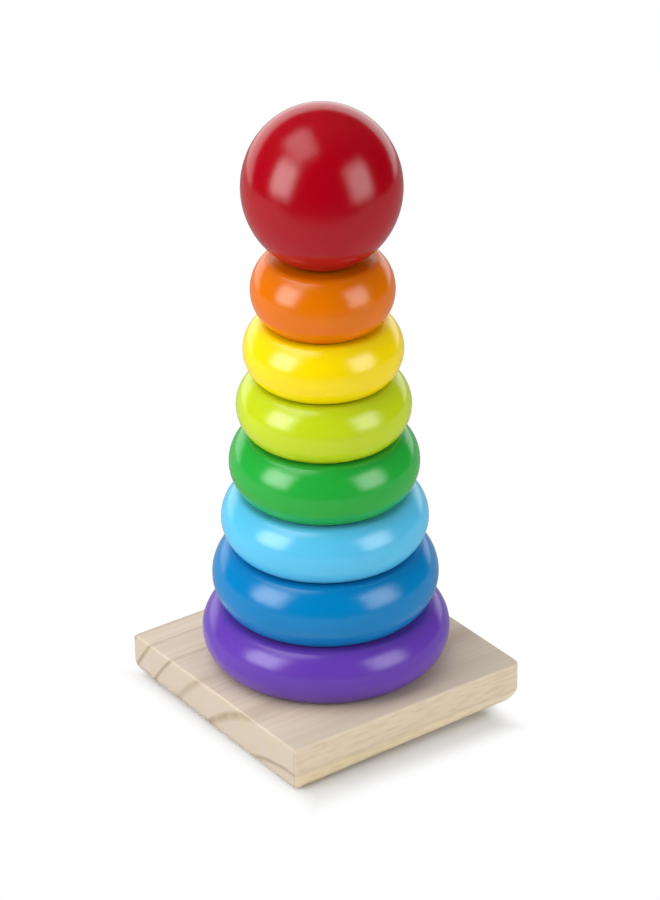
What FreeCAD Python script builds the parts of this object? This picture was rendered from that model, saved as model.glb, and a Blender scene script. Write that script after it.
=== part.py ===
"""Wooden rainbow ring stacker, built as a parametric FreeCAD document in millimetres.

The origin is the centre of the board's underside. Z is up the peg, and the board's grain runs along X.
"""
import FreeCAD, Part
import math
import os
import Sketcher

SHEET = "sizes"

# Rings from the board up: colour, outside diameter, height.
RINGS = (
    ("purple", 106.5, 25.0),
    ("blue", 97.0, 28.5),
    ("light_blue", 88.5, 25.5),
    ("green", 81.0, 27.5),
    ("lime", 74.0, 26.0),
    ("yellow", 67.5, 26.0),
    ("orange", 60.5, 29.0),
)

SIZES = {
    # Square pine board. Sanding has left two opposite corners crisp and the other two soft.
    "board_side": 120.0,
    "board_thickness": 20.0,
    "crisp_under_round": 3.0,
    "soft_under_round": 11.0,
    "crisp_upright_round": 1.5,
    "soft_upright_round": 5.5,
    "board_top_round": 1.2,
    # Beech dowel glued into a flat-bottomed bore in the board.
    "peg_diameter": 15.0,
    "peg_seat_depth": 13.0,
    "peg_glue_gap": 0.1,
    "peg_reach": 20.0,
    "peg_end_round": 4.0,
    "peg_foot_chamfer": 0.8,
    # Rings: loose on the peg, bowed outside, flat where they seat on one another.
    "ring_play": 2.0,
    "ring_bow": 7.0,
    "ring_edge_round": 4.0,
    "ring_bore_round": 1.5,
    # Ball with a flat seat and a blind socket for the peg's end.
    "ball_width": 67.0,
    "ball_height": 70.5,
    "ball_seat_diameter": 30.0,
    "ball_seat_round": 0.8,
    "ball_socket_round": 1.2,
    "ball_socket_headroom": 2.5,
    "ball_drill_point_angle": 118.0,
}

TOUCH = 1e-4
CIRCLE_MATCH = 0.01


def make_sheet(doc):
    """Keep every driving size in one sheet, a row each, with its name as the alias."""
    sheet = doc.addObject("Spreadsheet::Sheet", SHEET)
    sizes = dict(SIZES)
    for colour, diameter, height in RINGS:
        sizes[f"{colour}_diameter"] = diameter
        sizes[f"{colour}_height"] = height
    for row, (name, value) in enumerate(sizes.items(), start=1):
        sheet.set(f"A{row}", name)
        sheet.set(f"B{row}", str(value))
        sheet.setAlias(f"B{row}", name)
    doc.recompute()
    return sheet


def make_body(doc, name):
    body = doc.addObject("PartDesign::Body", name)
    body.Label = name
    return body


def add_sketch(body, name, plane):
    """Sketch on one of the body's own origin planes."""
    sketch = body.newObject("Sketcher::SketchObject", name)
    support = next(item for item in body.Origin.OriginFeatures if item.Role == plane)
    sketch.AttachmentSupport = [(support, "")]
    sketch.MapMode = "FlatFace"
    return sketch


def dimension(sketch, name, constraint, expression):
    """Add a named dimension and bind it to the sheet."""
    index = sketch.addConstraint(constraint)
    sketch.renameConstraint(index, name)
    sketch.setExpression(f"Constraints.{name}", expression)


def join_in_a_loop(sketch, count):
    """Tie the end of each edge to the start of the next, all the way round."""
    for edge in range(count):
        following = (edge + 1) % count
        sketch.addConstraint(Sketcher.Constraint("Coincident", edge, 2, following, 1))


def draw_circle(sketch, diameter_expression, diameter):
    """Circle about the sketch's origin."""
    centre = FreeCAD.Vector(0, 0, 0)
    upward = FreeCAD.Vector(0, 0, 1)
    circle = sketch.addGeometry(Part.Circle(centre, upward, diameter / 2))
    sketch.addConstraint(Sketcher.Constraint("Coincident", circle, 3, -1, 1))
    dimension(sketch, "diameter", Sketcher.Constraint("Diameter", circle, diameter), diameter_expression)


def add_fillet(body, name, base, wanted, radius_name, kind="PartDesign::Fillet"):
    """Round, or chamfer, the edges of the base feature that the test picks out."""
    body.Document.recompute()
    edges = [f"Edge{number}" for number, edge in enumerate(base.Shape.Edges, start=1) if wanted(edge)]
    if not edges:
        raise RuntimeError(f"{name} finds no edge to work on")
    feature = body.newObject(kind, name)
    feature.Base = (base, edges)
    size = "Radius" if kind == "PartDesign::Fillet" else "Size"
    feature.setExpression(size, f"{SHEET}.{radius_name}")
    return feature


def is_level_at(height):
    """Test for edges that lie in the level plane at this height."""
    def test(edge):
        box = edge.BoundBox
        return abs(box.ZMin - height) < TOUCH and abs(box.ZMax - height) < TOUCH
    return test


def is_circle_of(radius, heights):
    """Test for full level circles of this radius at one of the heights."""
    def test(edge):
        level = any(is_level_at(height)(edge) for height in heights)
        return level and abs(edge.BoundBox.XLength - 2 * radius) < CIRCLE_MATCH
    return test


def ease_edges(sheet, block):
    """Edge numbers of the block, each with the radius of its round at its last and first ends."""
    thickness = sheet.board_thickness
    rounds = []
    for number, edge in enumerate(block.Shape.Edges, start=1):
        ends = [vertex.Point for vertex in edge.Vertexes]
        crisp = [end.x * end.y > 0 for end in ends]
        if is_level_at(0)(edge):
            radii = [sheet.crisp_under_round if sharp else sheet.soft_under_round for sharp in crisp]
        elif is_level_at(thickness)(edge):
            radii = [sheet.board_top_round] * 2
        else:
            radii = [sheet.crisp_upright_round if sharp else sheet.soft_upright_round for sharp in crisp]
        rounds.append((number, *reversed(radii)))
    return rounds


def make_board(doc, sheet):
    """Square board, its under edges rounded more towards two corners, with a blind bore for the peg."""
    block = doc.addObject("Part::Box", "board_block")
    block.setExpression("Length", f"{SHEET}.board_side")
    block.setExpression("Width", f"{SHEET}.board_side")
    block.setExpression("Height", f"{SHEET}.board_thickness")
    block.setExpression("Placement.Base.x", f"-{SHEET}.board_side / 2")
    block.setExpression("Placement.Base.y", f"-{SHEET}.board_side / 2")
    doc.recompute()
    eased = doc.addObject("Part::Fillet", "board_eased")
    eased.Base = block
    eased.Edges = ease_edges(sheet, block)

    bore = doc.addObject("Part::Cylinder", "peg_bore")
    bore.setExpression("Radius", f"{SHEET}.peg_diameter / 2 + {SHEET}.peg_glue_gap")
    bore.setExpression("Height", f"{SHEET}.peg_seat_depth")
    bore.setExpression("Placement.Base.z", f"{SHEET}.board_thickness - {SHEET}.peg_seat_depth")
    board = doc.addObject("Part::Cut", "base_board")
    board.Label = "base_board"
    board.Base = eased
    board.Tool = bore
    doc.recompute()
    check_removed(board, eased.Shape.Volume, bore.Shape.Volume)
    check_corners(board, sheet.board_side / 2)
    return board


def check_corners(board, half):
    """Stop unless the board comes nearer to its two crisp corners than to its two soft ones."""
    gaps = []
    for x, y in ((-half, -half), (half, half), (-half, half), (half, -half)):
        corner = Part.Vertex(x, y, 0)
        gaps.append(corner.distToShape(board.Shape)[0])
    if max(gaps[:2]) >= min(gaps[2:]):
        raise RuntimeError("the board's crisp and soft corners are swapped")


def check_removed(feature, volume_before, expected):
    """Stop if a cut took away anything but the volume it should."""
    removed = volume_before - feature.Shape.Volume
    if abs(removed - expected) > 0.01 * expected:
        raise RuntimeError(f"{feature.Name} removed {removed:.1f} mm3, not {expected:.1f} mm3")


def make_peg(doc, sheet, stack_height):
    """Dowel from the floor of the board's bore up into the ball, with a rounded end."""
    body = make_body(doc, "peg")
    section = add_sketch(body, "peg_section", "XY_Plane")
    draw_circle(section, f"{SHEET}.peg_diameter", sheet.peg_diameter)
    dowel = body.newObject("PartDesign::Pad", "peg_dowel")
    dowel.Profile = section
    dowel.setExpression("Length", f"{SHEET}.peg_seat_depth + {stack_height} + {SHEET}.peg_reach")
    doc.recompute()
    tip = dowel.Shape.BoundBox.ZMax
    foot = add_fillet(
        body, "peg_foot", dowel, is_level_at(0), "peg_foot_chamfer", kind="PartDesign::Chamfer")
    add_fillet(body, "peg_end", foot, is_level_at(tip), "peg_end_round")
    body.setExpression("Placement.Base.z", f"{SHEET}.board_thickness - {SHEET}.peg_seat_depth")
    return body


def make_ring(doc, sheet, colour, seat):
    """Turned ring: flat seats top and bottom, a bowed outside and a loose round bore."""
    body = make_body(doc, f"{colour}_ring")
    outer = sheet.getPropertyByName(f"{colour}_diameter") / 2
    height = sheet.getPropertyByName(f"{colour}_height")
    inner = sheet.peg_diameter / 2 + sheet.ring_play
    rim = outer - sheet.ring_bow
    bow_radius = (height ** 2 / 4 + sheet.ring_bow ** 2) / (2 * sheet.ring_bow)

    profile = add_sketch(body, f"{colour}_profile", "XZ_Plane")
    lower_rim = FreeCAD.Vector(rim, 0, 0)
    upper_rim = FreeCAD.Vector(rim, height, 0)
    girth = FreeCAD.Vector(outer, height / 2, 0)
    upper_mouth = FreeCAD.Vector(inner, height, 0)
    lower_mouth = FreeCAD.Vector(inner, 0, 0)
    profile.addGeometry(Part.LineSegment(lower_mouth, lower_rim))
    profile.addGeometry(Part.Arc(lower_rim, girth, upper_rim))
    profile.addGeometry(Part.LineSegment(upper_rim, upper_mouth))
    profile.addGeometry(Part.LineSegment(upper_mouth, lower_mouth))
    join_in_a_loop(profile, 4)
    profile.addConstraint(Sketcher.Constraint("Horizontal", 0))
    profile.addConstraint(Sketcher.Constraint("Horizontal", 2))
    profile.addConstraint(Sketcher.Constraint("Vertical", 3))
    profile.addConstraint(Sketcher.Constraint("Vertical", 1, 1, 1, 2))
    profile.addConstraint(Sketcher.Constraint("PointOnObject", 0, 1, -1))
    bore = Sketcher.Constraint("DistanceX", -1, 1, 0, 1, inner)
    dimension(profile, "bore_radius", bore, f"{SHEET}.peg_diameter / 2 + {SHEET}.ring_play")
    flat = Sketcher.Constraint("DistanceX", -1, 1, 0, 2, rim)
    dimension(profile, "rim_radius", flat, f"{SHEET}.{colour}_diameter / 2 - {SHEET}.ring_bow")
    tall = Sketcher.Constraint("DistanceY", 3, 2, 3, 1, height)
    dimension(profile, "height", tall, f"{SHEET}.{colour}_height")
    bow = Sketcher.Constraint("Radius", 1, bow_radius)
    half_squared = f"({SHEET}.{colour}_height / 2) ^ 2"
    bow_expression = f"({half_squared} + {SHEET}.ring_bow ^ 2) / (2 * {SHEET}.ring_bow)"
    dimension(profile, "bow_radius", bow, bow_expression)

    turned = body.newObject("PartDesign::Revolution", f"{colour}_turned")
    turned.Profile = profile
    turned.ReferenceAxis = (profile, ["V_Axis"])
    turned.Angle = 360
    ends = (0, height)
    edges = add_fillet(body, f"{colour}_outer_edges", turned, is_circle_of(rim, ends), "ring_edge_round")
    add_fillet(body, f"{colour}_bore_edges", edges, is_circle_of(inner, ends), "ring_bore_round")
    body.setExpression("Placement.Base.z", seat)
    return body


def make_ball(doc, sheet, seat):
    """Turned ball, a little taller than wide, cut flat to sit and drilled for the peg's end."""
    body = make_body(doc, "top_ball")
    half_height = sheet.ball_height / 2
    half_width = sheet.ball_width / 2
    seat_radius = sheet.ball_seat_diameter / 2
    socket_radius = sheet.peg_diameter / 2 + sheet.ring_play
    seat_latitude = math.acos(seat_radius / half_width)
    drop = half_height * math.sin(seat_latitude)

    profile = add_sketch(body, "ball_profile", "XZ_Plane")
    middle = FreeCAD.Vector(0, 0, 0)
    rim = FreeCAD.Vector(seat_radius, 0, 0)
    centre = FreeCAD.Vector(0, drop, 0)
    pole = FreeCAD.Vector(0, drop + half_height, 0)
    girth = FreeCAD.Vector(half_width, drop, 0)
    # An ellipse's angles run from its long axis, which is upright only if the ball is taller than wide.
    tall = sheet.ball_height > sheet.ball_width
    if tall:
        far_girth = FreeCAD.Vector(-half_width, drop, 0)
        outline = Part.ArcOfEllipse(Part.Ellipse(pole, far_girth, centre), -math.pi / 2 - seat_latitude, 0)
    else:
        outline = Part.ArcOfEllipse(Part.Ellipse(girth, pole, centre), -seat_latitude, math.pi / 2)
    profile.addGeometry(Part.LineSegment(middle, rim))
    profile.addGeometry(outline)
    profile.addGeometry(Part.LineSegment(pole, middle))
    join_in_a_loop(profile, 3)
    profile.exposeInternalGeometry(1)
    long_axis, short_axis = 3, 4
    profile.addConstraint(Sketcher.Constraint("Coincident", 0, 1, -1, 1))
    profile.addConstraint(Sketcher.Constraint("Horizontal", 0))
    profile.addConstraint(Sketcher.Constraint("Vertical", 2))
    profile.addConstraint(Sketcher.Constraint("PointOnObject", 1, 3, -2))
    profile.addConstraint(Sketcher.Constraint("Vertical" if tall else "Horizontal", long_axis))
    flat = Sketcher.Constraint("DistanceX", 0, 1, 0, 2, seat_radius)
    dimension(profile, "seat_radius", flat, f"{SHEET}.ball_seat_diameter / 2")
    height_axis, width_axis = (long_axis, short_axis) if tall else (short_axis, long_axis)
    height = Sketcher.Constraint("Distance", height_axis, 2 * half_height)
    dimension(profile, "height", height, f"{SHEET}.ball_height")
    width = Sketcher.Constraint("Distance", width_axis, 2 * half_width)
    dimension(profile, "width", width, f"{SHEET}.ball_width")
    globe = body.newObject("PartDesign::Revolution", "ball_globe")
    globe.Profile = profile
    globe.ReferenceAxis = (profile, ["V_Axis"])
    globe.Angle = 360

    on_seat = (0,)
    seated = add_fillet(body, "ball_seat_edge", globe, is_circle_of(seat_radius, on_seat), "ball_seat_round")

    bit = add_sketch(body, "socket_profile", "XZ_Plane")
    depth = sheet.peg_reach + sheet.ball_socket_headroom
    point_height = socket_radius / math.tan(math.radians(sheet.ball_drill_point_angle / 2))
    axis_low = FreeCAD.Vector(0, 0, 0)
    wall_low = FreeCAD.Vector(socket_radius, 0, 0)
    wall_high = FreeCAD.Vector(socket_radius, depth, 0)
    point = FreeCAD.Vector(0, depth + point_height, 0)
    for start, end in ((axis_low, wall_low), (wall_low, wall_high), (wall_high, point), (point, axis_low)):
        bit.addGeometry(Part.LineSegment(start, end))
    join_in_a_loop(bit, 4)
    bit.addConstraint(Sketcher.Constraint("Coincident", 0, 1, -1, 1))
    bit.addConstraint(Sketcher.Constraint("Horizontal", 0))
    bit.addConstraint(Sketcher.Constraint("Vertical", 1))
    bit.addConstraint(Sketcher.Constraint("Vertical", 3))
    reach = Sketcher.Constraint("DistanceX", 0, 1, 0, 2, socket_radius)
    dimension(bit, "radius", reach, f"{SHEET}.peg_diameter / 2 + {SHEET}.ring_play")
    deep = Sketcher.Constraint("DistanceY", 1, 1, 1, 2, depth)
    dimension(bit, "depth", deep, f"{SHEET}.peg_reach + {SHEET}.ball_socket_headroom")
    cone = Sketcher.Constraint("DistanceY", 2, 1, 2, 2, point_height)
    half_angle = f"{SHEET}.ball_drill_point_angle / 2 * 1 deg"
    dimension(bit, "point", cone, f"({SHEET}.peg_diameter / 2 + {SHEET}.ring_play) / tan({half_angle})")
    doc.recompute()
    solid_volume = seated.Shape.Volume
    socket = body.newObject("PartDesign::Groove", "ball_socket")
    socket.Profile = bit
    socket.ReferenceAxis = (bit, ["V_Axis"])
    socket.Angle = 360
    doc.recompute()
    check_removed(socket, solid_volume, math.pi * socket_radius ** 2 * (depth + point_height / 3))
    add_fillet(body, "socket_mouth", socket, is_circle_of(socket_radius, on_seat), "ball_socket_round")
    body.setExpression("Placement.Base.z", seat)
    return body


def check(doc, bodies):
    """Stop before anything is written if a feature failed or a piece isn't one sound solid."""
    for item in doc.Objects:
        if "Invalid" in item.State or "Error" in item.State:
            raise RuntimeError(f"{item.Name} failed: {item.State}")
    for body in bodies:
        shape = body.Shape
        if shape.isNull() or not shape.isValid() or len(shape.Solids) != 1:
            raise RuntimeError(f"{body.Label} is not one valid solid")


def main():
    doc = FreeCAD.newDocument("ring_stacker")
    sheet = make_sheet(doc)
    bodies = [make_board(doc, sheet)]
    seat = f"{SHEET}.board_thickness"
    stack_height = " + ".join(f"{SHEET}.{colour}_height" for colour, diameter, height in RINGS)
    bodies.append(make_peg(doc, sheet, stack_height))
    for colour, diameter, height in RINGS:
        bodies.append(make_ring(doc, sheet, colour, seat))
        seat += f" + {SHEET}.{colour}_height"
    bodies.append(make_ball(doc, sheet, seat))
    doc.recompute()
    check(doc, bodies)

    os.makedirs("parts", exist_ok=True)
    for body in bodies:
        body.Shape.exportStep(f"parts/{body.Label}.step")
        box = body.Shape.optimalBoundingBox()
        print(f"{body.Label}: {body.Shape.Volume / 1000:.1f} cm3, z {box.ZMin:.2f} to {box.ZMax:.2f}")


main()
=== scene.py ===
import math

import bpy
import numpy as np
from mathutils import Euler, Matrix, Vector


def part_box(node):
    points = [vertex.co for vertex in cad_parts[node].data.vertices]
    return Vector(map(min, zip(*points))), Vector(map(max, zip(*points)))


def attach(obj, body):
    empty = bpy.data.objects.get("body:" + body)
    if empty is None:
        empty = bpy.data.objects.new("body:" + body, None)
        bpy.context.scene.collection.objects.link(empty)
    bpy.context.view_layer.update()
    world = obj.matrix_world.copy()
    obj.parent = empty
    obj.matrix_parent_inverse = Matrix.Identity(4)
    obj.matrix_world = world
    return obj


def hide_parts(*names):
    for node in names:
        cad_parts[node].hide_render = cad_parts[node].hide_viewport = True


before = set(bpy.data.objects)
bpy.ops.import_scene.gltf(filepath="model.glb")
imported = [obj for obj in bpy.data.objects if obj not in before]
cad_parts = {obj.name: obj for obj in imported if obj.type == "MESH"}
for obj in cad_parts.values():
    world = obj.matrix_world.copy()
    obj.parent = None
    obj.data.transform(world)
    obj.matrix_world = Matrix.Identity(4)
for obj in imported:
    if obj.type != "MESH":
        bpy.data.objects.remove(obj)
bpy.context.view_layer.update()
mm = 0.001


def linearColour(hexCode):
    # sRGB hex to linear: the low end divided by 12.92, the rest by the 2.4 power curve
    code = hexCode.lstrip("#")
    channels = [int(code[i:i + 2], 16) / 255 for i in (0, 2, 4)]
    return [c / 12.92 if c <= 0.04045 else ((c + 0.055) / 1.055) ** 2.4 for c in channels] + [1.0]


def addNode(tree, kind, settings=None, feeds=None):
    # settings are the node's own options, feeds are its inputs: a number, or another node's output
    node = tree.nodes.new(kind)
    for name, value in (settings or {}).items():
        setattr(node, name, value)
    for name, value in (feeds or {}).items():
        if isinstance(value, bpy.types.NodeSocket):
            tree.links.new(value, node.inputs[name])
        else:
            node.inputs[name].default_value = value
    return node


def setRamp(node, stops):
    # stops are (place from 0 to 1, hex colour or grey level) pairs in rising order
    ramp = node.color_ramp
    while len(ramp.elements) < len(stops):
        ramp.elements.new(1.0)
    for element, (place, colour) in zip(ramp.elements, stops):
        element.position = place
        element.color = linearColour(colour) if isinstance(colour, str) else (colour, colour, colour, 1)
    return node


def startMaterial(name):
    material = bpy.data.materials.new(name)
    material.use_nodes = True
    material.node_tree.nodes.clear()
    return material, material.node_tree


def surfaceFromGrid(name, points, closedProfile=False, capStart=None, capEnd=None):
    # points[i, j] is the surface at step i along the profile and step j round it, and each small square is a
    # face. The last column joins the first, and so does the last row if the profile is closed. A cap closes
    # an end row onto one pole point
    rows, columns = points.shape[:2]
    index = np.arange(rows * columns).reshape(rows, columns)
    index = np.concatenate([index, index[:, :1]], axis=1)
    if closedProfile:
        index = np.concatenate([index, index[:1]], axis=0)
    quads = np.stack([index[:-1, :-1], index[:-1, 1:], index[1:, 1:], index[1:, :-1]], axis=-1).reshape(-1, 4)
    vertices = points.reshape(-1, 3)
    faces = quads.tolist()
    for pole, row, turned in ((capStart, index[0], False), (capEnd, index[-1], True)):
        if pole is not None:
            centre = np.full(len(row) - 1, len(vertices))
            fan = np.stack([centre, row[1:], row[:-1]], axis=1)
            faces += (fan[:, ::-1] if turned else fan).tolist()
            vertices = np.vstack([vertices, pole])
    mesh = bpy.data.meshes.new(name)
    mesh.from_pydata(vertices.tolist(), [], faces)
    mesh.polygons.foreach_set("use_smooth", np.ones(len(faces), dtype=bool))
    mesh.update()
    piece = bpy.data.objects.new(name, mesh)
    bpy.context.scene.collection.objects.link(piece)
    return piece


def arc(centre, radius, fromDegrees, toDegrees, steps):
    # points of a circle: centre plus radius times (cos, sin), the angle in even steps
    angle = np.radians(np.linspace(fromDegrees, toDegrees, steps))
    return np.stack([centre[0] + radius * np.cos(angle), centre[1] + radius * np.sin(angle)], axis=1)


def line(start, end, steps):
    share = np.linspace(0, 1, steps)[:, None]
    return np.array(start) * (1 - share) + np.array(end) * share


def spin(profile, segments):
    # a profile of (radius, height) carried once round the upright axis
    angle = np.linspace(0, 2 * math.pi, segments, endpoint=False)
    radius = profile[:, 0][:, None]
    height = np.repeat(profile[:, 1][:, None], segments, axis=1)
    return np.stack([radius * np.cos(angle), radius * np.sin(angle), height], axis=-1)


def joinRuns(*runs):
    # end to end, each run without the point it shares with the one before
    return np.concatenate([runs[0]] + [run[1:] for run in runs[1:]])


print("camera and studio")

camera = dict(
    azimuth=-35.87,        # degrees round the upright axis, 0 looks along +Y
    elevation=28.08,       # degrees above the board
    distance=1.839,        # metres
    lens=174.4, sensor=36, # mm
    nearest=0.05, farthest=50,   # metres: the nearest and farthest that it sees
    aimHeight=117.1 * mm, aimRight=2.39 * mm,
    roll=-0.52,            # degrees
)


def placeCamera(c):
    data = bpy.data.cameras.new("camera")
    data.lens = c["lens"]
    data.sensor_width = c["sensor"]
    data.clip_start = c["nearest"]
    data.clip_end = c["farthest"]
    item = bpy.data.objects.new("camera", data)
    bpy.context.scene.collection.objects.link(item)
    azimuth, elevation = math.radians(c["azimuth"]), math.radians(c["elevation"])
    level = math.cos(elevation)
    back = Vector((math.sin(azimuth) * level, -math.cos(azimuth) * level, math.sin(elevation)))
    right = Vector((math.cos(azimuth), math.sin(azimuth), 0))
    aim = Vector((0, 0, c["aimHeight"])) + right * c["aimRight"]
    item.location = aim + back * c["distance"]
    turn = (-back).to_track_quat("-Z", "Y").to_matrix().to_4x4()
    item.rotation_euler = (turn @ Euler((0, 0, math.radians(c["roll"]))).to_matrix().to_4x4()).to_euler()
    bpy.context.scene.camera = item


placeCamera(camera)

# each softbox: direction seen from the toy, distance, width, height in metres, watts
softboxes = {
    "leftSoftbox": dict(toward=(-0.917, 0.107, 0.385), distance=1.3, width=1.12, height=1.46, watts=31.5),
    "rightSoftbox": dict(toward=(0.360, -0.871, 0.333), distance=1.3, width=1.16, height=1.43, watts=22.1),
    "topSoftbox": dict(toward=(-0.403, 0.150, 0.903), distance=1.2, width=1.43, height=0.97, watts=12.2),
}
softboxFade = 0.34          # share of the width over which the cloth darkens towards its edge
softboxAim = (0, 0, 0.15)   # metres: what all three point at


def hangSoftbox(name, s):
    data = bpy.data.lights.new(name, "AREA")
    data.shape = "RECTANGLE"
    data.size = s["width"]
    data.size_y = s["height"]
    data.energy = s["watts"]
    item = bpy.data.objects.new(name, data)
    bpy.context.scene.collection.objects.link(item)
    toward = Vector(s["toward"]).normalized()
    item.location = Vector(softboxAim) + toward * s["distance"]
    item.rotation_euler = (-toward).to_track_quat("-Z", "Y").to_euler()
    item.visible_camera = False
    # the cloth is bright in the middle and fades to its rim: smooth(u) times smooth(v), measured from the rim
    data.use_nodes = True
    tree = data.node_tree
    tree.nodes.clear()
    cloth = addNode(tree, "ShaderNodeNewGeometry")
    fromMiddle = addNode(tree, "ShaderNodeVectorMath", {"operation": "SUBTRACT"}, {
        0: cloth.outputs["Parametric"], 1: (0.5, 0.5, 0.0)})
    spread = addNode(tree, "ShaderNodeVectorMath", {"operation": "ABSOLUTE"}, {
        0: fromMiddle.outputs["Vector"]})
    sides = addNode(tree, "ShaderNodeSeparateXYZ", feeds={0: spread.outputs["Vector"]})
    fades = [addNode(tree, "ShaderNodeMapRange", {"interpolation_type": "SMOOTHSTEP"}, {
        "Value": sides.outputs[way], "From Min": 0.5, "From Max": 0.5 - softboxFade}) for way in "XY"]
    level = addNode(tree, "ShaderNodeMath", {"operation": "MULTIPLY"}, {
        0: fades[0].outputs[0], 1: fades[1].outputs[0]})
    glow = addNode(tree, "ShaderNodeEmission", feeds={"Color": (1, 1, 1, 1), "Strength": level.outputs[0]})
    addNode(tree, "ShaderNodeOutputLight", feeds={"Surface": glow.outputs[0]})


for softboxName, softbox in softboxes.items():
    hangSoftbox(softboxName, softbox)

room = dict(
    backdrop=(0.459, 0.759, -0.463),    # the middle of the white sweep behind the toy
    dark=0.005,                         # the room as gloss sees it, in front of the sweep
    bright=1.40,                        # the sweep as gloss sees it
    glossEdge=(0.46, 0.58),             # cosines where the sweep starts for gloss and where it is full
    fill=0.05,                          # grey of the room for matte surfaces
    glow=1.35,                          # its white ceiling and sweep, high behind the toy, for matte surfaces
    glowFrom=(0.33, 0.66, 0.675),
    glowEdge=(0.10, 0.95),
)


def lightRoom(r):
    world = bpy.data.worlds.new("studioRoom")
    world.use_nodes = True
    tree = world.node_tree
    tree.nodes.clear()
    path = addNode(tree, "ShaderNodeLightPath")
    place = addNode(tree, "ShaderNodeTexCoord")
    facing = addNode(tree, "ShaderNodeVectorMath", {"operation": "DOT_PRODUCT"}, {
        0: place.outputs["Generated"], 1: r["backdrop"]})
    sweep = addNode(tree, "ShaderNodeMapRange", {"interpolation_type": "SMOOTHSTEP"}, {
        "Value": facing.outputs["Value"], "From Min": r["glossEdge"][0], "From Max": r["glossEdge"][1],
        "To Min": r["dark"], "To Max": r["bright"]})
    above = addNode(tree, "ShaderNodeVectorMath", {"operation": "DOT_PRODUCT"}, {
        0: place.outputs["Generated"], 1: r["glowFrom"]})
    soft = addNode(tree, "ShaderNodeMapRange", {"interpolation_type": "SMOOTHSTEP"}, {
        "Value": above.outputs["Value"], "From Min": r["glowEdge"][0], "From Max": r["glowEdge"][1],
        "To Min": r["fill"], "To Max": r["glow"]})
    shiny = addNode(tree, "ShaderNodeMath", {"operation": "MAXIMUM"}, {
        0: path.outputs["Is Glossy Ray"], 1: path.outputs["Is Transmission Ray"]})
    glossLevel = addNode(tree, "ShaderNodeMix", {"data_type": "FLOAT"}, {
        0: shiny.outputs[0], 2: soft.outputs[0], 3: sweep.outputs[0]})
    level = addNode(tree, "ShaderNodeMix", {"data_type": "FLOAT"}, {
        0: path.outputs["Is Camera Ray"], 2: glossLevel.outputs[0], 3: 1.0})
    background = addNode(tree, "ShaderNodeBackground", feeds={
        "Color": (1, 1, 1, 1), "Strength": level.outputs[0]})
    addNode(tree, "ShaderNodeOutputWorld", feeds={"Surface": background.outputs[0]})
    bpy.context.scene.world = world


lightRoom(room)

table = dict(
    radius=1.25, height=-0.1 * mm, circles=40, segments=96,
    white="#F4F4F4", seen="#D3D3D3", inGloss="#969696",    # as it lights the toy, as the eye and gloss see it
    front=(-0.586, -0.810, 0.0), frontReach=(0.25, 0.70),  # on this side gloss sees it end softly, in metres
    # outside this rectangle, which is narrower along X, the card is bare white paper to the eye
    shadowMiddle=(-7 * mm, -6.5 * mm, 0), narrower=14.5 * mm, shadowReach=(60.5 * mm, 74.5 * mm),
)


def layTable(t):
    # a round white card: radius times (cos, sin), a hair under the board so that the two never share a plane
    radius = np.linspace(0.02, t["radius"], t["circles"])
    profile = np.stack([radius, np.full_like(radius, t["height"])], axis=1)
    piece = surfaceFromGrid("table", spin(profile, t["segments"]), capStart=[0, 0, t["height"]])
    piece.data.flip_normals()
    material, tree = startMaterial("whiteMattCard")
    path = addNode(tree, "ShaderNodeLightPath")
    place = addNode(tree, "ShaderNodeTexCoord")
    ahead = addNode(tree, "ShaderNodeVectorMath", {"operation": "DOT_PRODUCT"}, {
        0: place.outputs["Object"], 1: t["front"]})
    far = addNode(tree, "ShaderNodeMapRange", {"interpolation_type": "SMOOTHSTEP"}, {
        "Value": ahead.outputs["Value"], "From Min": t["frontReach"][0], "From Max": t["frontReach"][1]})
    mirrored = addNode(tree, "ShaderNodeMix", {"data_type": "RGBA"}, {
        0: far.outputs[0], 6: linearColour(t["inGloss"]), 7: (0, 0, 0, 1)})
    seen = addNode(tree, "ShaderNodeMix", {"data_type": "RGBA"}, {
        0: path.outputs["Is Camera Ray"], 6: linearColour(t["white"]), 7: linearColour(t["seen"])})
    tone = addNode(tree, "ShaderNodeMix", {"data_type": "RGBA"}, {
        0: path.outputs["Is Glossy Ray"], 6: seen.outputs[2], 7: mirrored.outputs[2]})
    card = addNode(tree, "ShaderNodeBsdfDiffuse", feeds={"Color": tone.outputs[2]})
    offset = addNode(tree, "ShaderNodeVectorMath", {"operation": "SUBTRACT"}, {
        0: place.outputs["Object"], 1: t["shadowMiddle"]})
    spread = addNode(tree, "ShaderNodeVectorMath", {"operation": "ABSOLUTE"}, {0: offset.outputs["Vector"]})
    sides = addNode(tree, "ShaderNodeSeparateXYZ", feeds={0: spread.outputs["Vector"]})
    widened = addNode(tree, "ShaderNodeMath", {"operation": "ADD"}, {0: sides.outputs["X"], 1: t["narrower"]})
    away = addNode(tree, "ShaderNodeMath", {"operation": "MAXIMUM"}, {
        0: widened.outputs[0], 1: sides.outputs["Y"]})
    outside = addNode(tree, "ShaderNodeMapRange", {"interpolation_type": "SMOOTHSTEP"}, {
        "Value": away.outputs["Value"], "From Min": t["shadowReach"][0], "From Max": t["shadowReach"][1]})
    plain = addNode(tree, "ShaderNodeMath", {"operation": "MULTIPLY"}, {
        0: outside.outputs[0], 1: path.outputs["Is Camera Ray"]})
    paper = addNode(tree, "ShaderNodeEmission", feeds={"Color": (1, 1, 1, 1), "Strength": 1.0})
    both = addNode(tree, "ShaderNodeMixShader", feeds={
        0: plain.outputs[0], 1: card.outputs[0], 2: paper.outputs[0]})
    addNode(tree, "ShaderNodeOutputMaterial", feeds={"Surface": both.outputs[0]})
    piece.data.materials.append(material)


layTable(table)

print("paints")

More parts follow.
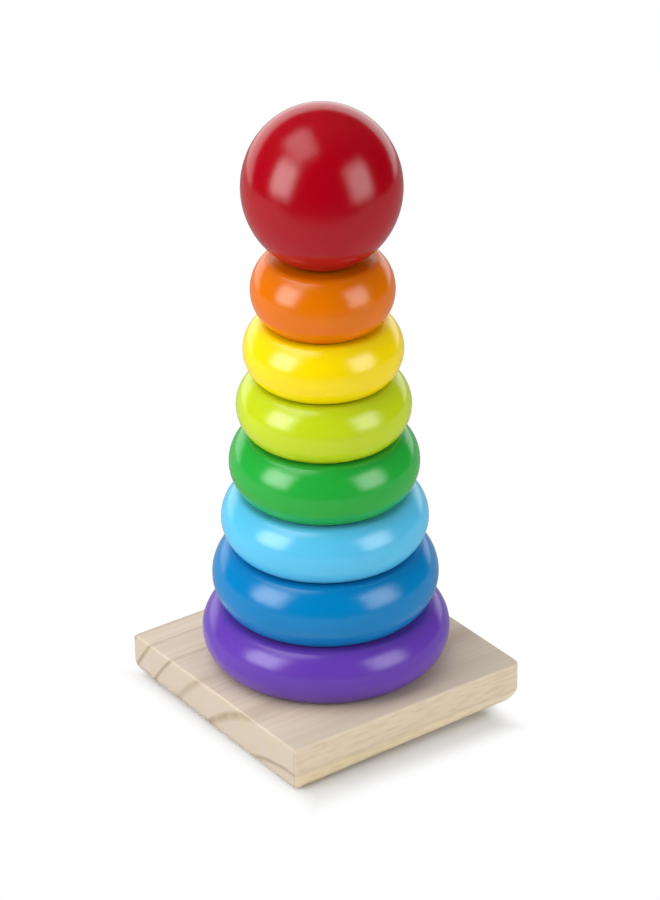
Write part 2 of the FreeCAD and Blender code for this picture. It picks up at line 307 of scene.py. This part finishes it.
enamelCoat = dict(
    cloudScale=28.0,                   # clouds of tone about 35 mm across
    peelScale=200.0,                   # orange peel in waves of 5 mm
    roughness=(0.155, 0.195),
    bump=0.18, bumpHeight=0.3 * mm,
)


def glossEnamelOnWood(name, colour, shade, shine, coat=enamelCoat):
    # sprayed gloss enamel on turned hardwood: deep even colour, soft-edged shine, faint waves from the wood
    material, tree = startMaterial(name)
    place = addNode(tree, "ShaderNodeTexCoord")
    cloud = addNode(tree, "ShaderNodeTexNoise", feeds={
        "Vector": place.outputs["Object"], "Scale": coat["cloudScale"], "Detail": 3.0})
    tone = addNode(tree, "ShaderNodeMix", {"data_type": "RGBA"}, {
        0: cloud.outputs["Fac"], 6: linearColour(shade), 7: linearColour(colour)})
    peel = addNode(tree, "ShaderNodeTexNoise", feeds={
        "Vector": place.outputs["Object"], "Scale": coat["peelScale"], "Detail": 1.0})
    sheen = addNode(tree, "ShaderNodeMapRange", feeds={
        "Value": peel.outputs["Fac"], "To Min": coat["roughness"][0], "To Max": coat["roughness"][1]})
    bump = addNode(tree, "ShaderNodeBump", feeds={
        "Height": peel.outputs["Fac"], "Strength": coat["bump"], "Distance": coat["bumpHeight"]})
    enamel = addNode(tree, "ShaderNodeBsdfPrincipled", feeds={
        "Base Color": tone.outputs[2], "Roughness": sheen.outputs[0], "IOR": shine,
        "Normal": bump.outputs[0]})
    addNode(tree, "ShaderNodeOutputMaterial", feeds={"Surface": enamel.outputs[0]})
    return material


print("rings")

ringShape = dict(bow=7.0, edgeRound=4.0, boreRound=1.5, bore=19.0, segments=288)   # mm, faces round the axis

# the two tones of each paint and its index of refraction
rings = {
    "purple_ring": dict(paint="#623CA9", shade="#5B369F", shine=1.48),
    "blue_ring": dict(paint="#0079B6", shade="#0071AC", shine=1.48),
    "light_blue_ring": dict(paint="#57B9DF", shade="#4EB1D9", shine=1.56),
    "green_ring": dict(paint="#22A239", shade="#1D9A33", shine=1.56),
    "lime_ring": dict(paint="#BACB1A", shade="#B1C512", shine=1.56),
    "yellow_ring": dict(paint="#ECD100", shade="#E6C900", shine=1.56),
    "orange_ring": dict(paint="#D66E00", shade="#CC6500", shine=1.48),
}


def turnRing(name, shape, look):
    # half the outline, from the girth up and in: a bow of one arc, an edge round, a flat seat, a mouth round
    # and the bore. The lower half mirrors it
    low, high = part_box(name)
    middle, half = (low.z + high.z) / 2, (high.z - low.z) / 2
    bow, edge, mouth = shape["bow"] * mm, shape["edgeRound"] * mm, shape["boreRound"] * mm
    inner = shape["bore"] * mm / 2
    bowRadius = (half ** 2 + bow ** 2) / (2 * bow)
    bowCentre = high.x - bowRadius
    edgeHeight = half - edge
    edgeRadius = bowCentre + math.sqrt((bowRadius - edge) ** 2 - edgeHeight ** 2)
    meet = math.degrees(math.atan2(edgeHeight, edgeRadius - bowCentre))
    upper = joinRuns(
        arc((bowCentre, 0), bowRadius, 0, meet, 40),
        arc((edgeRadius, edgeHeight), edge, meet, 90, 14),
        line((edgeRadius, half), (inner + mouth, half), 8),
        arc((inner + mouth, half - mouth), mouth, 90, 180, 10),
        line((inner, half - mouth), (inner, 0), 6))
    lower = upper[-2:0:-1] * np.array([1, -1])
    profile = np.concatenate([upper, lower]) + np.array([0, middle])
    piece = surfaceFromGrid(name + "_turned", spin(profile, shape["segments"]), closedProfile=True)
    materialName = name.replace("_ring", "") + "GlossEnamel"
    piece.data.materials.append(glossEnamelOnWood(materialName, look["paint"], look["shade"], look["shine"]))
    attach(piece, name)
    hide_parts(name)


for ringName, ringLook in rings.items():
    turnRing(ringName, ringShape, ringLook)

print("ball")

ball = dict(
    height=70.5, seat=30.0, socket=19.0, socketRound=1.2, socketDepth=22.5,   # all in mm
    drillPoint=118.0,                                                         # degrees
    seatEdge=((0.25, 0.35), (-0.25, 0.06), (-0.9, 0.0)),   # mm: outside the seat's rim and above the seat
    edgeStart=0.02,                                        # radians above the rim where this edge takes over
    segments=320, paint="#A00014", shade="#960010", shine=1.48,
)


def turnBall(b):
    # an upright ellipse cut off at the seat: radius = half width times cos, height = half height times sin
    low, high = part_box("top_ball")
    halfWide, halfTall = high.x, b["height"] / 2 * mm
    seat, socket = b["seat"] / 2 * mm, b["socket"] / 2 * mm
    centre = high.z - halfTall
    latitude = math.acos(seat / halfWide)
    angle = np.linspace(math.pi / 2, -latitude + b["edgeStart"], 110)[1:]
    globe = np.stack([halfWide * np.cos(angle), centre + halfTall * np.sin(angle)], axis=1)
    mouthRound = b["socketRound"] * mm
    edge = np.array([[seat + out * mm, low.z + up * mm] for out, up in b["seatEdge"]])
    seatRun = line(edge[-1], (socket + mouthRound, low.z), 6)
    mouth = arc((socket + mouthRound, low.z + mouthRound), mouthRound, 270, 180, 10)
    depth = low.z + b["socketDepth"] * mm
    wall = line(mouth[-1], (socket, depth), 8)
    pointHeight = socket / math.tan(math.radians(b["drillPoint"] / 2))
    cone = line((socket, depth), (socket * 0.1, depth + pointHeight * 0.9), 6)
    profile = joinRuns(np.concatenate([globe, edge]), seatRun, mouth, wall, cone)
    piece = surfaceFromGrid("top_ball_turned", spin(profile, b["segments"]),
                            capStart=[0, 0, high.z], capEnd=[0, 0, depth + pointHeight])
    piece.data.flip_normals()
    piece.data.materials.append(glossEnamelOnWood("redGlossEnamel", b["paint"], b["shade"], b["shine"]))
    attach(piece, "ball")
    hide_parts("top_ball")


turnBall(ball)

print("board and peg")

board = dict(
    earlywood="#CFC0AB", streak="#C7B7A1", latewood="#8F7A5E",
    frontShadeTone="#B7AA98",               # painted shade: the wood darkens towards the front edge
    sideWood="#DECDB1", sideStreak="#AE966E", endWood="#BDB099", endMottle="#BEB0A3",
    inner="#DAC8A5", innerPaintedLight="#E6D6BB",               # inside the first growth line at the left, and that tone paler at the right as painted bounce light
    pith=(0.0, -57.2, -65.5),          # mm: the middle of the tree, below one edge of the board
    growthLines=(                      # mm from the pith, mm wide, how dark
        (67.3, 1.4, 0.45), (73.4, 1.8, 0.80), (91.5, 3.2, 0.85), (109.1, 2.8, 0.60), (123.5, 1.5, 0.95),
        (135.3, 1.6, 0.95), (143.8, 1.6, 0.80)),
    waviness=1.6,                      # mm the lines wander
    lineAlong=0.36, lineAcross=0.80,   # how dark the lines are along the board and on its ends
    sideFainter=0.24,                  # how much of that they lose on the two long sides
    streakDepth=0.45,                  # how dark the short streaks on the long sides are
    rampReach=(60.0, 150.0),           # mm from the pith that the growth lines are drawn over
    heartEdge=(74.5, 72.5),            # mm from the pith where the inner wood starts
    paintedLightRun=(-20, 50),                # mm along the board over which the painted bounce light comes in
    frontShadeRun=(-38, -54), frontShadeShare=0.5,               # mm towards the front edge over which the painted shade comes in, and how far it turns the tone
    # noise scales a metre along each axis, then the noise levels between which each of them shows
    driftScale=(7, 45, 45), fibreScale=(18, 620, 620), streakScale=(110, 620, 620), mottleScale=140.0,
    fibreEdge=(0.38, 0.60), streakEdge=(0.46, 0.70), patchEdge=(0.30, 0.60), endEdge=(0.35, 0.65),
    patchLeast=0.6,                    # share of its depth that a growth line keeps between the blotches
    endFacing=(0.6, 0.9), sideFacing=(0.3, 0.8),       # part of the normal along the board and across it
    sideMost=0.7,                      # how far the long sides take their own tone
    roughness=0.62, shine=1.45, bump=0.12, bumpHeight=0.2 * mm,
)


def sandedPine(b):
    # bare pine sanded smooth: pale cream earlywood, thin brown latewood lines sharp on their outer side,
    # strong on the end grain and faint along the board, with fine straight fibre between them
    material, tree = startMaterial("sandedPine")
    place = addNode(tree, "ShaderNodeTexCoord")
    # slow waves 22 mm across
    drift = addNode(tree, "ShaderNodeMapping", feeds={
        "Vector": place.outputs["Object"], "Scale": b["driftScale"]})
    wander = addNode(tree, "ShaderNodeTexNoise", feeds={
        "Vector": drift.outputs[0], "Scale": 1.0, "Detail": 2.0})
    fromPith = addNode(tree, "ShaderNodeMapping", {"vector_type": "POINT"}, {
        "Vector": place.outputs["Object"], "Location": tuple(-x * mm for x in b["pith"]),
        "Scale": (0.0, 1.0, 1.0)})
    distance = addNode(tree, "ShaderNodeVectorMath", {"operation": "LENGTH"}, {0: fromPith.outputs[0]})
    wobble = addNode(tree, "ShaderNodeMath", {"operation": "MULTIPLY_ADD"}, {
        0: wander.outputs["Fac"], 1: b["waviness"] * mm, 2: distance.outputs["Value"]})
    low, high = b["rampReach"]
    shift = b["waviness"] / 2
    across = addNode(tree, "ShaderNodeMapRange", feeds={
        "Value": wobble.outputs[0], "From Min": (low + shift) * mm, "From Max": (high + shift) * mm})
    stops = [(0.0, 0.0)]
    for radius, width, depth in b["growthLines"]:
        for offset, level in ((-1.0, 0.0), (-0.2, depth), (0.2, depth), (0.6, 0.0)):
            stops.append(((radius + offset * width - low) / (high - low), level))
    growth = setRamp(addNode(tree, "ShaderNodeValToRGB", feeds={0: across.outputs[0]}), stops)
    facing = addNode(tree, "ShaderNodeSeparateXYZ", feeds={0: place.outputs["Normal"]})
    endOn = addNode(tree, "ShaderNodeMath", {"operation": "ABSOLUTE"}, {0: facing.outputs["X"]})
    endShare = addNode(tree, "ShaderNodeMapRange", {"interpolation_type": "SMOOTHSTEP"}, {
        "Value": endOn.outputs[0], "From Min": b["endFacing"][0], "From Max": b["endFacing"][1]})
    strength = addNode(tree, "ShaderNodeMapRange", feeds={
        "Value": endShare.outputs[0], "To Min": b["lineAlong"], "To Max": b["lineAcross"]})
    sideOn = addNode(tree, "ShaderNodeMath", {"operation": "ABSOLUTE"}, {0: facing.outputs["Y"]})
    sideShare = addNode(tree, "ShaderNodeMapRange", {"interpolation_type": "SMOOTHSTEP"}, {
        "Value": sideOn.outputs[0], "From Min": b["sideFacing"][0], "From Max": b["sideFacing"][1],
        "To Max": b["sideMost"]})
    sideFaint = addNode(tree, "ShaderNodeMath", {"operation": "MULTIPLY_ADD"}, {
        0: sideShare.outputs[0], 1: -b["sideFainter"], 2: strength.outputs[0]})
    # blotches of 7 mm
    mottle = addNode(tree, "ShaderNodeTexNoise", feeds={
        "Vector": place.outputs["Object"], "Scale": b["mottleScale"], "Detail": 2.0})
    patchy = addNode(tree, "ShaderNodeMapRange", feeds={
        "Value": mottle.outputs["Fac"], "From Min": b["patchEdge"][0], "From Max": b["patchEdge"][1],
        "To Min": b["patchLeast"], "To Max": 1.0})
    depth = addNode(tree, "ShaderNodeMath", {"operation": "MULTIPLY"}, {
        0: sideFaint.outputs[0], 1: patchy.outputs[0]})
    shade = addNode(tree, "ShaderNodeMath", {"operation": "MULTIPLY"}, {
        0: growth.outputs[0], 1: depth.outputs[0]})
    # fibres 1.6 mm across, drawn coarse
    fibrePlace = addNode(tree, "ShaderNodeMapping", feeds={
        "Vector": place.outputs["Object"], "Scale": b["fibreScale"]})
    fibre = addNode(tree, "ShaderNodeTexNoise", feeds={
        "Vector": fibrePlace.outputs[0], "Scale": 1.0, "Detail": 4.0, "Roughness": 0.6})
    fine = setRamp(addNode(tree, "ShaderNodeValToRGB", feeds={0: fibre.outputs["Fac"]}),
                   list(zip(b["fibreEdge"], (b["streak"], b["earlywood"]))))
    run = addNode(tree, "ShaderNodeSeparateXYZ", feeds={0: place.outputs["Object"]})
    # painted shade: the top turns darker towards the front edge, where less light falls
    paintedFrontShade = addNode(tree, "ShaderNodeMapRange", {"interpolation_type": "SMOOTHSTEP"}, {
        "Value": run.outputs["Y"], "From Min": b["frontShadeRun"][0] * mm, "From Max": b["frontShadeRun"][1] * mm,
        "To Max": b["frontShadeShare"]})
    flat = addNode(tree, "ShaderNodeMix", {"data_type": "RGBA"}, {
        0: paintedFrontShade.outputs[0], 6: fine.outputs[0], 7: linearColour(b["frontShadeTone"])})
    heart = addNode(tree, "ShaderNodeMapRange", {"interpolation_type": "SMOOTHSTEP"}, {
        "Value": wobble.outputs[0], "From Min": b["heartEdge"][0] * mm, "From Max": b["heartEdge"][1] * mm})
    sides = addNode(tree, "ShaderNodeMix", {"data_type": "RGBA"}, {
        0: sideShare.outputs[0], 6: flat.outputs[2], 7: linearColour(b["sideWood"])})
    # painted light: the inner wood turns paler towards the right end, standing in for light bounced up from
    # the floor
    paintedLightAlong = addNode(tree, "ShaderNodeMapRange", feeds={
        "Value": run.outputs["X"], "From Min": b["paintedLightRun"][0] * mm, "From Max": b["paintedLightRun"][1] * mm})
    core = addNode(tree, "ShaderNodeMix", {"data_type": "RGBA"}, {
        0: paintedLightAlong.outputs[0], 6: linearColour(b["inner"]), 7: linearColour(b["innerPaintedLight"])})
    cored = addNode(tree, "ShaderNodeMix", {"data_type": "RGBA"}, {
        0: heart.outputs[0], 6: sides.outputs[2], 7: core.outputs[2]})
    # short streaks, 9 by 1.6 mm
    streakPlace = addNode(tree, "ShaderNodeMapping", feeds={
        "Vector": place.outputs["Object"], "Scale": b["streakScale"]})
    streaks = addNode(tree, "ShaderNodeTexNoise", feeds={
        "Vector": streakPlace.outputs[0], "Scale": 1.0, "Detail": 3.0})
    streakShare = addNode(tree, "ShaderNodeMapRange", feeds={
        "Value": streaks.outputs["Fac"], "From Min": b["streakEdge"][0], "From Max": b["streakEdge"][1],
        "To Max": b["streakDepth"]})
    streaky = addNode(tree, "ShaderNodeMath", {"operation": "MULTIPLY"}, {
        0: streakShare.outputs[0], 1: sideShare.outputs[0]})
    warm = addNode(tree, "ShaderNodeMix", {"data_type": "RGBA"}, {
        0: streaky.outputs[0], 6: cored.outputs[2], 7: linearColour(b["sideStreak"])})
    ends = setRamp(addNode(tree, "ShaderNodeValToRGB", feeds={0: mottle.outputs["Fac"]}),
                   list(zip(b["endEdge"], (b["endWood"], b["endMottle"]))))
    faces = addNode(tree, "ShaderNodeMix", {"data_type": "RGBA"}, {
        0: endShare.outputs[0], 6: warm.outputs[2], 7: ends.outputs[0]})
    wood = addNode(tree, "ShaderNodeMix", {"data_type": "RGBA"}, {
        0: shade.outputs[0], 6: faces.outputs[2], 7: linearColour(b["latewood"])})
    bump = addNode(tree, "ShaderNodeBump", feeds={
        "Height": fibre.outputs["Fac"], "Strength": b["bump"], "Distance": b["bumpHeight"]})
    pine = addNode(tree, "ShaderNodeBsdfPrincipled", feeds={
        "Base Color": wood.outputs[2], "Roughness": b["roughness"], "IOR": b["shine"],
        "Normal": bump.outputs[0]})
    addNode(tree, "ShaderNodeOutputMaterial", feeds={"Surface": pine.outputs[0]})
    return material


boardShape = dict(
    topRound=1.2, bore=15.2, boreDepth=13.0,           # all in mm
    # the four corners in turn from the front-left one: round of the upright edge, round of the under edge
    upright=(1.5, 4.0, 1.5, 1.0), under=(3.0, 8.0, 3.0, 8.0),
    underSpread=0.5,                   # how much wider a corner's round gets for each mm that it stands in
    underside=(20.0, 4.0, 0.6),        # mm inward from the under rounds: the rows of the flat underside
    rimWidth=0.4,                      # mm of flat top between the top round and the first row inward
)


def easeBoard(shape, material):
    # one closed skin in rows from the underside up, each row a square with rounded corners. At angle a of the
    # under round the corner stands in by round times (1 - sin a) at height round times (1 - cos a). Both run
    # evenly from corner to corner, so the under edge is rounded most at the two soft corners
    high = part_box("base_board")[1]
    half, thick, topRound = high.x, high.z, shape["topRound"] * mm
    upright, under = np.array(shape["upright"]) * mm, np.array(shape["under"]) * mm
    signs = np.array([(-1, -1), (1, -1), (1, 1), (-1, 1)])
    cornerSteps = np.linspace(0, 1, 14)[:, None]
    sideSteps = np.linspace(0, 1, 26)[1:-1, None]

    def row(inset, height):
        # a corner is the conic from one side to the next with middle weight cos 45, which is a circle's arc
        tips = signs * (half - inset)[:, None]
        reach = (upright + shape["underSpread"] * inset)[:, None]
        back, ahead = np.roll(tips, 1, axis=0) - tips, np.roll(tips, -1, axis=0) - tips
        starts = tips + back / np.linalg.norm(back, axis=1)[:, None] * reach
        ends = tips + ahead / np.linalg.norm(ahead, axis=1)[:, None] * reach
        runs = []
        for k in range(4):
            first, last = (1 - cornerSteps) ** 2, cornerSteps ** 2
            middle = math.sqrt(2) * cornerSteps * (1 - cornerSteps)
            bend = (first * starts[k] + middle * tips[k] + last * ends[k]) / (first + middle + last)
            after = (k + 1) % 4
            side = ends[k] * (1 - sideSteps) + starts[after] * sideSteps
            climb = height[k] * (1 - sideSteps) + height[after] * sideSteps
            runs += [np.column_stack([bend, np.full(len(bend), height[k])]), np.column_stack([side, climb])]
        return np.concatenate(runs)

    level = np.ones(4)
    rows = [row(under + inward * mm, 0 * level) for inward in shape["underside"]]
    for a in np.linspace(0, math.pi / 2, 16):
        rows.append(row(under * (1 - math.sin(a)), under * (1 - math.cos(a))))
    wallTop = thick - topRound
    rows += [row(0 * level, under * (1 - share) + wallTop * share) for share in (0.04, 0.35, 0.65, 0.96, 1.0)]
    for a in np.linspace(0, math.pi / 2, 9)[1:]:
        rows.append(row(topRound * (1 - math.cos(a)) * level, (wallTop + topRound * math.sin(a)) * level))
    rim = row((topRound + shape["rimWidth"] * mm) * level, thick * level)
    facing = rim[:, :2] / np.linalg.norm(rim[:, :2], axis=1)[:, None]
    mouth = np.column_stack([facing * shape["bore"] / 2 * mm, np.full(len(rim), thick)])
    rows += [rim * (1 - share) + mouth * share for share in (0.0, 0.25, 0.5, 0.75, 0.98, 1.0)]
    down = np.array([0, 0, shape["boreDepth"] * mm])
    rows += [mouth - down * share for share in (0.02, 0.5, 0.98, 1.0)]
    piece = surfaceFromGrid("board_eased", np.stack(rows),
                            capStart=[0, 0, 0], capEnd=[0, 0, thick - shape["boreDepth"] * mm])
    piece.data.materials.append(material)
    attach(piece, "base")
    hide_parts("base_board")


easeBoard(boardShape, sandedPine(board))


def coverNode(name, material):
    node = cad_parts[name]
    node.data.materials.clear()
    node.data.materials.append(material)


peg = dict(
    wood="#DDBF97", fleck="#C79F72", fleckScale=(900, 900, 120), fleckEdge=(0.36, 0.56),
    roughness=0.5, shine=1.45, bump=0.1, bumpHeight=0.2 * mm,
)


def turnedBeech(p):
    # a beech dowel, sanded: warm pale brown with short darker flecks along the grain, which runs up the peg
    material, tree = startMaterial("turnedBeech")
    place = addNode(tree, "ShaderNodeTexCoord")
    stretched = addNode(tree, "ShaderNodeMapping", feeds={
        "Vector": place.outputs["Object"], "Scale": p["fleckScale"]})
    fleck = addNode(tree, "ShaderNodeTexNoise", feeds={
        "Vector": stretched.outputs[0], "Scale": 1.0, "Detail": 3.0})
    tone = setRamp(addNode(tree, "ShaderNodeValToRGB", feeds={0: fleck.outputs["Fac"]}),
                   list(zip(p["fleckEdge"], (p["fleck"], p["wood"]))))
    bump = addNode(tree, "ShaderNodeBump", feeds={
        "Height": fleck.outputs["Fac"], "Strength": p["bump"], "Distance": p["bumpHeight"]})
    beech = addNode(tree, "ShaderNodeBsdfPrincipled", feeds={
        "Base Color": tone.outputs[0], "Roughness": p["roughness"], "IOR": p["shine"],
        "Normal": bump.outputs[0]})
    addNode(tree, "ShaderNodeOutputMaterial", feeds={"Surface": beech.outputs[0]})
    return material


coverNode("peg", turnedBeech(peg))

bpy.context.scene.view_settings.view_transform = "Standard"
